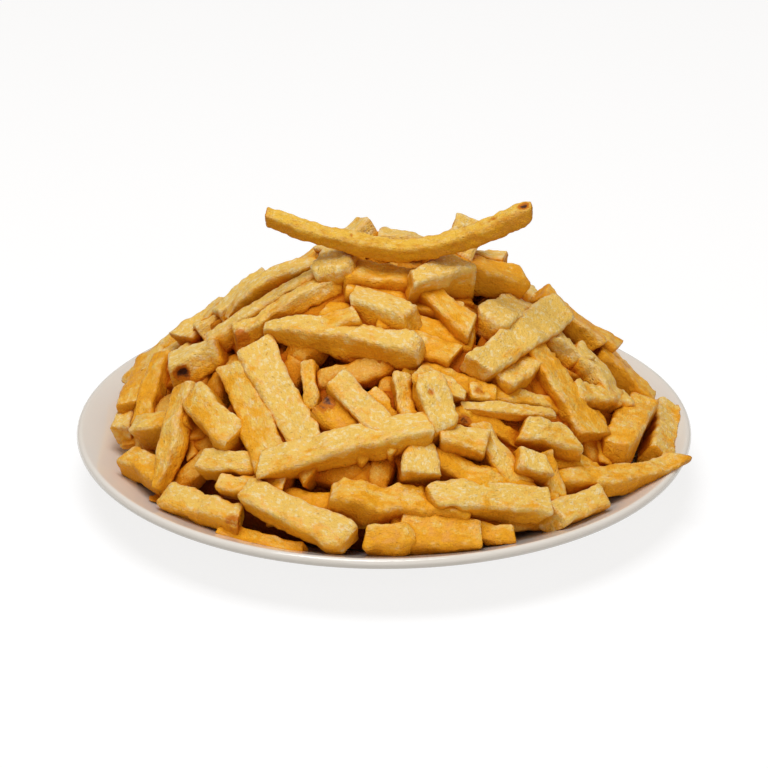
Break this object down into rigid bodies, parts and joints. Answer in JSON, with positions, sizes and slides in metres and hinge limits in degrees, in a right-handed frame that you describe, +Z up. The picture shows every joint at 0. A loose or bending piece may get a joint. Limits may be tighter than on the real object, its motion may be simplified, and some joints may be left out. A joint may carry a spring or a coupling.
{
  "type": "french fries portion",
  "caption": "Heap of thick-cut golden french fries piled high on a round white dinner plate, one long bowed fry across the top.",
  "frame": {"origin": "middle of the plate, on the surface the foot ring stands on", "axes": "+Z up, -Y towards the side of the heap that shows, +X to its right"},
  "size_m": [0.24, 0.24, 0.1202],
  "materials": {
    "white_glaze": "glossy white glaze, slightly warm",
    "fried_potato": "golden fried potato, satin, uneven",
    "golden_crust": "golden brown fried crust, satin"
  },
  "bodies": {
    "root": {"plate": "white_glaze", "fries_heap": "fried_potato", "top_fry": "golden_crust"}
  },
  "joints": []
}
